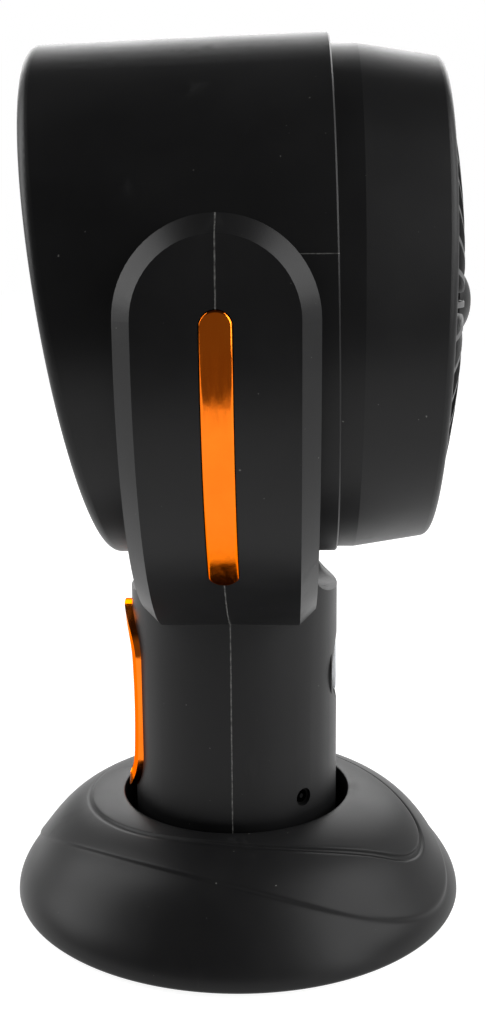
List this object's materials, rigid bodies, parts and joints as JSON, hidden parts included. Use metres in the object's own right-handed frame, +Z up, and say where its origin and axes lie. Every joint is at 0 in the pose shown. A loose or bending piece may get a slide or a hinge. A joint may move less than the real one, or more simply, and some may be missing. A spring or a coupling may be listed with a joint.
{
  "type": "desk air circulator fan",
  "caption": "Desk air circulator: a drum head with a domed front grille tilts in a fork that swivels in a round weighted base.",
  "frame": {"origin": "on the floor under the column's vertical axis, at the centre of the rubber ring's resting face", "axes": "+Z up; +X the way the air leaves the front grille; +Y to the right of someone who faces the front grille, and the head tilts about Y"},
  "size_m": [0.2006, 0.263, 0.373],
  "materials": {
    "black_plastic": "satin black moulded plastic with a fine grain",
    "inner_plastic": "plain dark moulded plastic",
    "amber_trim": "amber metallised trim",
    "button_silver": "pale silver cap",
    "impeller_plastic": "dark moulded plastic",
    "rubber_pad": "matt black rubber",
    "steel": "zinc-plated steel",
    "ballast_iron": "bare cast iron",
    "motor_steel": "drawn steel can",
    "acetal": "natural white acetal",
    "circuit_board": "green solder mask",
    "switch_plastic": "black switch body",
    "inlet_metal": "nickel-plated jack"
  },
  "bodies": {
    "base": {"base_cover": "black_plastic", "base_plate": "inner_plastic", "ballast_ring": "ballast_iron", "rubber_foot_ring": "rubber_pad", "base_screws": "steel", "swivel_washer": "acetal", "swivel_retainer": "steel", "retainer_screw": "steel"},
    "fork": {"column_foot": "inner_plastic", "fork_front_shell": "black_plastic", "fork_rear_shell": "black_plastic", "fork_screws": "steel", "arm_strip_left": "amber_trim", "arm_strip_right": "amber_trim", "rear_bezel": "amber_trim", "rear_panel": "black_plastic", "control_board": "circuit_board", "button_switch": "switch_plastic", "board_screws": "steel", "power_inlet": "inlet_metal", "tilt_bush_left": "acetal", "tilt_bush_right": "acetal"},
    "button": {"power_button": "button_silver"},
    "head": {"rear_cowl": "black_plastic", "intake_grille": "black_plastic", "front_ring": "black_plastic", "front_grille": "black_plastic", "grille_cap": "black_plastic", "motor_bracket": "inner_plastic", "motor_body": "motor_steel", "motor_screws": "steel", "bracket_screws": "steel", "tilt_pin_left": "steel", "tilt_pin_right": "steel", "pin_clip_left": "steel", "pin_clip_right": "steel", "friction_washer_left": "acetal", "friction_washer_right": "acetal"},
    "rotor": {"impeller": "impeller_plastic", "impeller_nut": "impeller_plastic", "motor_shaft": "steel"}
  },
  "joints": [
    {"name": "base_swivel", "type": "hinge", "parent": "base", "child": "fork", "pos_m": [0, 0, 0.03], "axis": [0, 0, 1], "range_deg": [-45, 45]},
    {"name": "head_tilt", "type": "hinge", "parent": "fork", "child": "head", "pos_m": [0, 0, 0.266], "axis": [0, -1, 0], "range_deg": [-15, 90]},
    {"name": "button_press", "type": "slide", "parent": "fork", "child": "button", "axis": [-1, 0, 0], "range_m": [0, 0.0012], "stiffness_N_per_m": 900, "springref_m": -0.0008},
    {"name": "impeller_spin", "type": "hinge", "parent": "head", "child": "rotor", "pos_m": [0.0245, 0, 0.2654], "axis": [1, 0, 0], "continuous": true}
  ]
}
